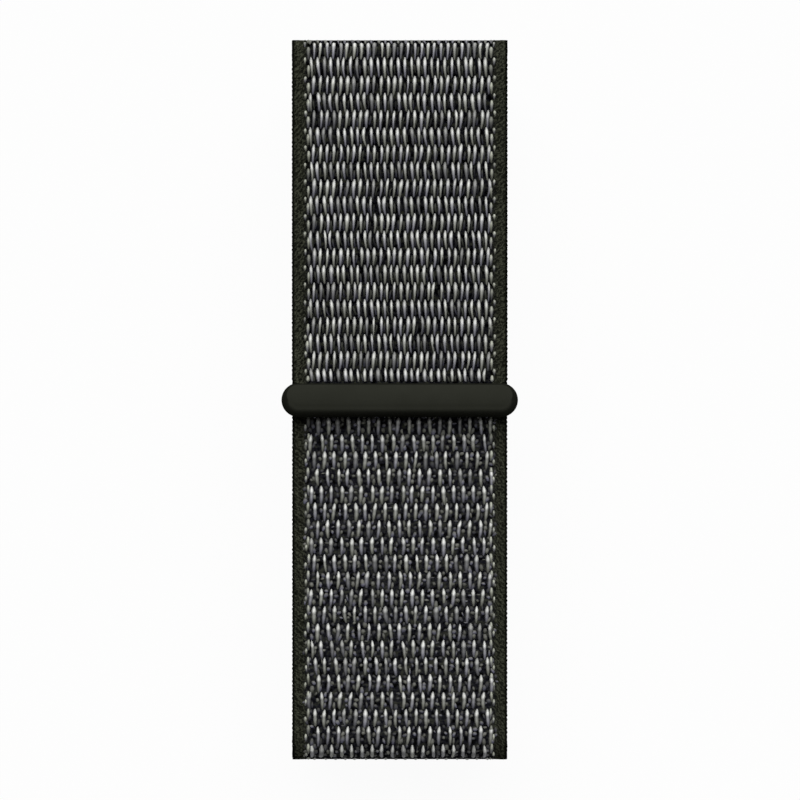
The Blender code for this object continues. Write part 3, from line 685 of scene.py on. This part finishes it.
# A second, darker ply shows beside each loop's lower half
skinPlies = dict(skinLoops, name="skin_plies", seed=16, columns=26, firstX=-8.62 * mm, width=0.26 * mm,
                 thickness=0.2 * mm, length=1.15 * mm, offset=0.75 * mm, rings=6, dimShare=0.4, dimShade=0.35,
                 dimWidth=1.0, drift=0.07 * mm, swing=0.1 * mm)
faceLoops = {
    "name": "face_loops", "seed": 12, "columns": 18, "pitch": 1.04 * mm, "firstX": -8.72 * mm,
    "shifts": (-0.347 * mm, 0.347 * mm, 0.0), "width": 0.47 * mm, "thickness": 0.36 * mm, "length": 2.1 * mm,
    "offset": 0.0, "sides": 6, "rings": 9, "dimShare": 0.14, "dimShade": 0.55, "dimWidth": 1.15,
    "shadeSpread": 0.3, "widthSpread": 0.08, "lengthSpread": 0.03, "drift": 0.03 * mm,
    "swing": 0.1 * mm, "rowSwing": 0.04 * mm, "lean": 0.0, "bow": 0.06 * mm,
    "outline": ((0, 0), (0.05, 0.45), (0.15, 0.85), (0.28, 1.05), (0.41, 0.92), (0.59, 0.98), (0.75, 0.88),
                (0.92, 0.65), (1, 0)),
    "rise": ((0, -0.08), (0.08, 0.0), (0.22, 0.08), (0.36, 0.04), (0.5, -0.02), (0.8, -0.05), (1, -0.12)),
}
bindingDots = {
    "name": "binding_dots", "seed": 13, "columns": 19, "pitch": 1.04 * mm, "firstX": -9.24 * mm,
    "shifts": (-0.347 * mm, 0.347 * mm, 0.0), "width": 0.44 * mm, "thickness": 0.26 * mm, "length": 0.5 * mm,
    "offset": 0.62 * mm, "sides": 6, "rings": 4, "dimShare": 0.3, "dimShade": 0.5, "dimWidth": 1.0,
    "shadeSpread": 0.5, "widthSpread": 0.22, "lengthSpread": 0.25, "drift": 0.09 * mm,
    "swing": 0.12 * mm, "rowSwing": 0.0, "lean": 0.0, "bow": 0.04 * mm,
    "outline": ((0, 0), (0.15, 0.75), (0.5, 1.0), (0.85, 0.75), (1, 0)),
    "rise": ((0, -0.06), (0.5, 0.0), (1, -0.06)),
}
bindingFloats = dict(bindingDots, name="binding_floats", seed=14, firstX=-9.42 * mm, width=0.42 * mm,
                     length=0.66 * mm, offset=1.1 * mm, dimShade=0.45)
bindingTops = dict(bindingDots, name="binding_tops", seed=15, width=0.44 * mm, length=0.56 * mm,
                   offset=0.02 * mm, dimShare=0.7, dimShade=0.4)


def edgeFamily(name, seed, x, offset, width, length, base):
    return dict(base, name=name, seed=seed, columns=2, pitch=2 * x, firstX=-x, shifts=(0.0,), width=width,
                length=length, offset=offset, swing=0.04 * mm, rowSwing=0.0, bow=0.0, sides=6, rings=5)


skinEdges = [edgeFamily("skin_edge_dots", 21, 9.66 * mm, 0.1 * mm, 0.38 * mm, 0.75 * mm, skinLoops),
             edgeFamily("skin_edge_floats", 22, 9.34 * mm, 0.7 * mm, 0.44 * mm, 1.4 * mm, skinLoops)]
faceEdges = [edgeFamily("face_edge_dots", 23, 9.62 * mm, 0.8 * mm, 0.34 * mm, 0.8 * mm, faceLoops),
             edgeFamily("face_edge_floats", 24, 9.36 * mm, -0.1 * mm, 0.4 * mm, 1.3 * mm, faceLoops)]

runs = {"band": (1.2 * mm, tailStart, pathAlong[-1]),
        "tail": (tailStart, marks["tailEnd"], marks["tailEnd"] + rows["overhang"])}
blended = [tailCloth]
for run, (start, end, stop) in runs.items():
    jobs = [(skinLoops, -1, skinYarn), (skinPlies, -1, pileYarn), (faceLoops, 1, faceYarn)]
    jobs += [(family, 1, bindYarn) for family in (bindingDots, bindingFloats, bindingTops)]
    jobs += [(family, -1, edgeYarn) for family in skinEdges]
    jobs += [(family, 1, edgeYarn) for family in faceEdges]
    for family, side, yarn in jobs:
        name = f"strap_{run}_{family['name']}"
        piece = addPiece(name, layYarns(name, family, side, start, end, stop), yarn,
                         body="band" if run == "band" else None)
        if run == "tail":
            blended.append(piece)
    print(f"{run} yarns laid")

for piece in blended:
    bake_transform(piece)


# Hardware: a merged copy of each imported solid, shaded smooth

hardware = {
    "merge": 0.002 * mm,        # vertices nearer than this are one
    "flat": 1,                  # degrees up to which two faces are one
    "sharp": 40,                # degrees from which an edge stays sharp
}


def mergedSolid(nodeName):
    bm = bmesh.new()
    bm.from_mesh(frame["nodes"][nodeName].data)
    bmesh.ops.remove_doubles(bm, verts=bm.verts, dist=hardware["merge"])
    return bm


def smoothCopy(name, nodeName, material, body):
    bm = mergedSolid(nodeName)
    bmesh.ops.dissolve_limit(bm, angle_limit=math.radians(hardware["flat"]), verts=bm.verts, edges=bm.edges)
    smoothFaces(bm)
    mesh = meshFrom(bm, name)
    mesh.set_sharp_from_angle(angle=math.radians(hardware["sharp"]))
    piece = addPiece(name, mesh, material, body, replaced=(nodeName,))
    weighted = piece.modifiers.new("weighted_normals", "WEIGHTED_NORMAL")
    weighted.keep_sharp = True
    return piece


def springHalf(prefix, hand):
    # The bar's spring from its middle to one of its tips
    node = f"{prefix}_bar_spring"
    press = joints[f"{prefix}_{hand}_tip_press"]
    bm = mergedSolid(node)
    bmesh.ops.bisect_plane(bm, geom=bm.verts[:] + bm.edges[:] + bm.faces[:], plane_co=(0, 0, 0),
                           plane_no=press["axis"], clear_outer=True)
    bmesh.ops.holes_fill(bm, edges=openEdges(bm), sides=0)
    smoothFaces(bm)
    name = f"{prefix}_spring_{hand}"
    piece = addPiece(name, meshFrom(bm, name), brightSteel, prefix, replaced=(node,))
    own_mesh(piece)


smoothCopy("end_tab_shell_inner", "end_tab_inner", tabNylon, "tail")
for letter in ("a", "b"):
    prefix = f"connector_{letter}"
    smoothCopy(f"{prefix}_fork", f"{prefix}_body", coatedSteel, prefix)
    for part, solid, body in (
            ("pin", "strap_pin", prefix), ("tube", "bar_tube", prefix),
            ("tip_left", "bar_tip_left", f"{prefix}_left_tip"),
            ("tip_right", "bar_tip_right", f"{prefix}_right_tip"),
            ("lever", "release_lever", f"{prefix}_right_tip")):
        smoothCopy(f"{prefix}_{part}", f"{prefix}_{solid}", brightSteel, body)
    for hand in ("left", "right"):
        springHalf(prefix, hand)
print("hardware finished")


# End tab: the outer shell, with walls that lean in for the mould and a top that is crowned across

tab = {
    "lean": 0.7 * mm,           # how far the wall leans in at the ends
    "upperLean": 0.05 * mm,     # the same along the side that the tail goes in
    "lowerLean": 0.3 * mm,
    "round": 0.13 * mm,         # rounding over the wall
    "upperRound": 0.2 * mm,
    "lowerRound": 0.6 * mm,
    "groove": 0.03 * mm,        # fine line round the top face
    "land": 0.15 * mm,          # upright strip over the seam
    "seamStep": 0.03 * mm,
    "crown": 2.9 * mm,
    "pocketHeight": 0.42 * mm,  # room for the tongue over the seam
    "pocketWidth": 20.64 * mm,
    "pocketDepth": 2.62 * mm,
    "overrun": 1.0 * mm,        # how far the cutting block is longer than the pocket
    "segments": 96,
    "rings": 14,                # the tables in tabShell count with these
}


def tabShell():
    low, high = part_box("end_tab_outer")
    radius = (high.y - low.y) / 2
    reach = high.x - radius
    bm = bmesh.new()
    bmesh.ops.create_uvsphere(bm, u_segments=tab["segments"], v_segments=tab["rings"], radius=1)
    smoothFaces(bm)
    mesh = meshFrom(bm, "end_tab_shell_outer")
    ball = getPlaces(mesh)
    # The ball's turns become the way round the stadium, and its rings go up: 0 the underside's middle,
    # 2 the seam, 3 the land's top, 4 the wall's top, 8 the rounding's end, 9 the groove, 14 the top's middle
    turn = np.degrees(np.arctan2(ball[:, 1], ball[:, 0])) % 360
    heading = np.radians(np.interp(turn, [0, 45, 135, 225, 315, 360], [0, 90, 90, 270, 270, 360]))
    middleX = np.interp(turn, [45, 135, 225, 315], [reach, -reach, -reach, reach])
    ring = np.degrees(np.arccos(np.clip(-ball[:, 2], -1, 1))) / 180 * tab["rings"]
    leanShare = np.interp(ring, [0, 1, 2, 3, 4], [1, 0.06, 0, 0, 1])
    bendShare = np.interp(ring, [0, 1, 4, 8], [1, 0, 0, 1])
    topShare = np.interp(ring, [0, 1, 8, 13, 14], [1, 0, 0, 0.95, 1])
    upper, lower = np.clip(np.sin(heading), 0, 1), np.clip(-np.sin(heading), 0, 1)
    lean, bend = (
        tab[base] + (tab[up] - tab[base]) * upper + (tab[down] - tab[base]) * lower
        for base, up, down in (("lean", "upperLean", "lowerLean"), ("round", "upperRound", "lowerRound")))
    inset = leanShare * lean + bendShare * bend + topShare * (radius - lean - bend)
    away = np.sin(heading) * (radius - inset)
    rimAway = np.sin(heading) * (radius - lean - bend)
    rimZ = high.z - rimAway ** 2 / (2 * tab["crown"])
    slope = (rimZ - low.z - tab["land"]) / (lean + bend / 2)
    wallZ = low.z + tab["land"] + slope * (leanShare * lean + bend * (bendShare - bendShare ** 2 / 2))
    z = np.where(ring > 8.5, high.z - away ** 2 / (2 * tab["crown"]), wallZ)
    z = np.where(ring < 2.5, low.z + np.where(ring > 1.5, tab["seamStep"], 0), z)
    z = z - tab["groove"] * (np.abs(ring - 9) < 0.5)
    x = middleX + np.cos(heading) * (radius - inset)
    setPlaces(mesh, np.stack([x, (low.y + high.y) / 2 + away, z], 1))
    return mesh


def cutPocket(mesh):
    low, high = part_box("end_tab_outer")
    bm = bmesh.new()
    bmesh.ops.create_cube(bm, size=1, matrix=Matrix.Translation(
        (0, high.y - tab["pocketDepth"] / 2 + tab["overrun"] / 2, low.z)) @ Matrix.Diagonal(
        (tab["pocketWidth"], tab["pocketDepth"] + tab["overrun"], 2 * tab["pocketHeight"], 1)))
    holders = [addObject("holder", part) for part in (mesh, meshFrom(bm, "pocket"))]
    cut = holders[0].modifiers.new("pocket", "BOOLEAN")
    cut.object = holders[1]
    cut.solver = "EXACT"
    made = shapedMesh(holders[0])
    for holder in holders:
        bpy.data.objects.remove(holder, do_unlink=True)
    made.set_sharp_from_angle(angle=math.radians(hardware["sharp"]))
    return made


addPiece("end_tab_shell_outer", cutPocket(tabShell()), tabNylon, "tail",
         replaced=("end_tab_outer",))
print("end tab finished")


# Hook patch under the tail: a thin backing with rounded corners and rows of moulded hooks

hooks = {
    "backing": 0.34 * mm,
    "corner": 1.5 * mm,
    "pitchAcross": 0.66 * mm,
    "pitchAlong": 0.82 * mm,
    "stem": 0.12 * mm,
    "bend": 0.11 * mm,          # radius of the hook's arch
    "turn": 205,                # degrees of the arch
    "thickness": 0.16 * mm,
    "margin": 0.5 * mm,
    "rimRound": 0.1 * mm,
    "seat": 0.04 * mm,          # how far the backing is set into the tail's cloth
    "sides": 4,
    "archSteps": 5,
    "cornerSteps": 8,
}


def hookShape():
    bm = bmesh.new()
    bmesh.ops.create_circle(bm, cap_ends=False, segments=hooks["sides"], radius=hooks["thickness"] / 2)
    made = bmesh.ops.extrude_edge_only(bm, edges=bm.edges[:])["geom"]
    top = [part for part in made if isinstance(part, bmesh.types.BMVert)]
    bmesh.ops.translate(bm, verts=top, vec=(0, 0, -hooks["stem"]))
    rim = [edge for edge in bm.edges if all(vert in top for vert in edge.verts)]
    bmesh.ops.spin(bm, geom=top + rim, cent=(0, hooks["bend"], -hooks["stem"]), axis=(1, 0, 0),
                   angle=math.radians(hooks["turn"]), steps=hooks["archSteps"], use_duplicate=False,
                   use_merge=False)
    bmesh.ops.holes_fill(bm, edges=openEdges(bm), sides=0)
    bmesh.ops.recalc_face_normals(bm, faces=bm.faces)
    smoothFaces(bm)
    return meshFrom(bm, "hook")


def hookPatch():
    low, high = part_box("hook_patch")
    seatZ = frontLevel - cloth["core"] / 2 + hooks["seat"]
    backZ = seatZ - hooks["backing"]
    bm = bmesh.new()
    bmesh.ops.create_grid(bm, x_segments=1, y_segments=1, size=0.5, matrix=Matrix.Translation(
        (0, (low.y + high.y) / 2, backZ)) @ Matrix.Diagonal((high.x - low.x, high.y - low.y, 1, 1)))
    bmesh.ops.bevel(bm, geom=bm.verts[:], offset=hooks["corner"], segments=hooks["cornerSteps"], profile=0.5,
                    affect="VERTICES", material=-1)
    bmesh.ops.solidify(bm, geom=bm.faces[:], thickness=-hooks["backing"])
    bmesh.ops.recalc_face_normals(bm, faces=bm.faces)
    rim = [edge for edge in bm.edges if all(abs(vert.co.z - backZ) < 0.01 * mm for vert in edge.verts)]
    bmesh.ops.bevel(bm, geom=rim, offset=hooks["rimRound"], segments=2, profile=0.5, affect="EDGES",
                    material=-1)
    backing = meshFrom(bm, "hook_patch_backing")
    template = hookShape()
    unit = getPlaces(template)
    across = int((high.x - low.x - 2 * hooks["margin"]) / hooks["pitchAcross"])
    along = int((high.y - low.y - 2 * hooks["margin"]) / hooks["pitchAlong"])
    field = repeated(template, across, along)
    x = (np.arange(across) - (across - 1) / 2)[None, :, None] * hooks["pitchAcross"] + unit[:, 0]
    y = (np.arange(along) - (along - 1) / 2)[:, None, None] * hooks["pitchAlong"] + (low.y + high.y) / 2
    shape = (along, across, len(unit))
    facing = np.where(np.arange(across) % 2, 1, -1)[None, :, None]      # neighbours face opposite ways
    parts = (x, y + facing * unit[:, 1], unit[:, 2] + backZ)
    places = np.stack([np.broadcast_to(part, shape) for part in parts], 3)
    setPlaces(field, places.reshape(-1, 3))
    bm = bmesh.new()
    bm.from_mesh(backing)
    bm.from_mesh(field)
    bmesh.ops.recalc_face_normals(bm, faces=bm.faces)
    return meshFrom(bm, "hook_patch_hooks")


addPiece("hook_patch_hooks", hookPatch(), hookNylon, "tail", replaced=("hook_patch",))
print("hook patch made")


# Anchor thread: one twisted thread in a zigzag through both layers of the folded end

stitches = {
    "radius": 0.15 * mm,
    "perRow": 16,
    "rowDepth": 1.6 * mm,
    "rowSpacing": 2.6 * mm,
    "dip": 0.34 * mm,           # how far a stitch sinks at its needle holes
    "topSink": 0.12 * mm,       # how far the upper stitches' middle lies under the solid's
    "underGap": 0.02 * mm,      # how far the lower ones stay off the table
    "plies": 3,
    "plyDepth": 0.3,            # depth of the grooves between the plies, as a share of the radius
    "taper": 4,                 # how soon a stitch reaches its full girth
    "lay": 1.6,                 # turns of the twist to a stitch
    "sides": 12,
    "rings": 28,
}


def anchorStitches():
    low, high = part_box("anchor_thread")
    solidRadius = (high.y - low.y - stitches["rowDepth"] - stitches["rowSpacing"]) / 2
    count, reach = stitches["perRow"], high.x - solidRadius
    upperZ = high.z - solidRadius - stitches["topSink"]
    corners = []
    for row in range(2):
        order = range(count + 1) if row == 0 else range(count, -1, -1)
        for i in order:
            side = stitches["rowDepth"] if (i + row) % 2 else 0
            corners.append((-reach + 2 * reach * i / count,
                            low.y + solidRadius + row * stitches["rowSpacing"] + side))
    corners = np.array(corners)
    template = spindle({"name": "stitch", "sides": stitches["sides"], "rings": stitches["rings"]})
    unit = getPlaces(template)
    t = (0.5 - unit[:, 1])[None, :]
    angle = np.arctan2(unit[:, 2], unit[:, 0])[None, :]
    girth = np.minimum(1, np.hypot(unit[:, 0], unit[:, 2]) * stitches["taper"])[None, :]
    twist = angle - 2 * np.pi * stitches["lay"] * t
    crests = np.abs(np.cos(stitches["plies"] / 2 * twist))
    ply = 1 - stitches["plyDepth"] + stitches["plyDepth"] * crests
    first, last = corners[:-1, None, :], corners[1:, None, :]
    run = last - first
    length = np.linalg.norm(run, axis=2, keepdims=True)
    sideways = np.stack([-run[..., 1], run[..., 0]], 2) / length
    out = stitches["radius"] * girth * ply
    flat = first + run * t[..., None] + sideways * (out * np.cos(angle))[..., None]
    arch = stitches["dip"] * (np.sin(np.pi * t) ** 0.5 - 1)
    layers = []
    for middleZ, way in ((upperZ, 1), (stitches["radius"] + stitches["underGap"], -1)):
        z = middleZ + way * arch + out * np.sin(angle)
        layers.append(np.concatenate([flat, np.broadcast_to(z, flat.shape[:2])[..., None]], 2))
    mesh = repeated(template, len(run), 2)
    setPlaces(mesh, np.concatenate(layers).reshape(-1, 3))
    setAttribute(mesh, "ply", "FLOAT", np.broadcast_to(ply, (2 * len(run), len(unit))).ravel())
    return mesh


addPiece("anchor_thread_stitches", anchorStitches(), sewingThread, "band",
         replaced=("anchor_thread",))
print("stitches made")


# Studio

studio = {
    "floorSize": 0.9,
    "floorDrop": 0.02 * mm,     # keeps the floor clear of the strap's underside
    "floorGlow": 0.95,          # share of plain white in what the camera sees of the floor
    "cameraHeight": 0.220,
    "cameraX": 0.03 * mm,
    "cameraY": 0.17 * mm,
    "lens": 87.27,
    "sunStrength": 3.1,
    "sunElevation": 54,
    "sunAngle": 56,
    "worldStrength": 0.12,
}


def seenRays(tree):
    # 1 for what the camera sees, straight, mirrored or through glass, and 0 for the light on the strap
    rays = addNode(tree, "LightPath").outputs
    seen = rays["Is Camera Ray"]
    for kind in ("Is Glossy Ray", "Is Transmission Ray"):
        seen = addNode(tree, "Math", {"operation": "MAXIMUM"}, {0: seen, 1: rays[kind]})
    return seen


def addFloor():
    bm = bmesh.new()
    bmesh.ops.create_grid(bm, x_segments=1, y_segments=1, size=studio["floorSize"] / 2,
                          matrix=Matrix.Translation((0, 0, -studio["floorDrop"])))
    floor = addObject("studio_floor", meshFrom(bm, "studio_floor"))
    material, tree, shader = newMaterial("paintedBoardPale", {
        "Base Color": linear("#DEDEDC"), "Roughness": 0.8})
    share = addNode(tree, "Math", {"operation": "MULTIPLY", 1: studio["floorGlow"]}, {0: seenRays(tree)})
    glow = addNode(tree, "Emission", {"Color": (1, 1, 1, 1), "Strength": 1.0})
    mixed = addNode(tree, "MixShader", {}, {0: share, 1: shader, 2: glow})
    tree.links.new(mixed.outputs[0], tree.nodes["Material Output"].inputs["Surface"])
    floor.data.materials.append(material)


def addLights():
    sunData = bpy.data.lights.new("window", "SUN")
    sunData.energy = studio["sunStrength"]
    sunData.angle = math.radians(studio["sunAngle"])
    sun = addObject("window", sunData)
    sun.rotation_euler = (-math.radians(90 - studio["sunElevation"]), 0, 0)   # comes from +Y and above
    world = bpy.data.worlds.new("studio")
    bpy.context.scene.world = world
    world.use_nodes = True
    tree = world.node_tree
    strength = addNode(tree, "MapRange", {"To Min": studio["worldStrength"], "To Max": 1.0},
                       {0: seenRays(tree)})
    background = tree.nodes["Background"]
    background.inputs["Color"].default_value = (1, 1, 1, 1)
    tree.links.new(strength.outputs[0], background.inputs["Strength"])


def addCamera():
    data = bpy.data.cameras.new("camera")
    data.lens = studio["lens"]
    data.sensor_width = 36
    data.clip_start = 0.01
    data.clip_end = 10
    camera = addObject("camera", data)
    camera.location = (studio["cameraX"], studio["cameraY"], studio["cameraHeight"])
    bpy.context.scene.camera = camera


addFloor()
addLights()
addCamera()
bpy.context.scene.view_settings.view_transform = "Standard"
print("studio set")
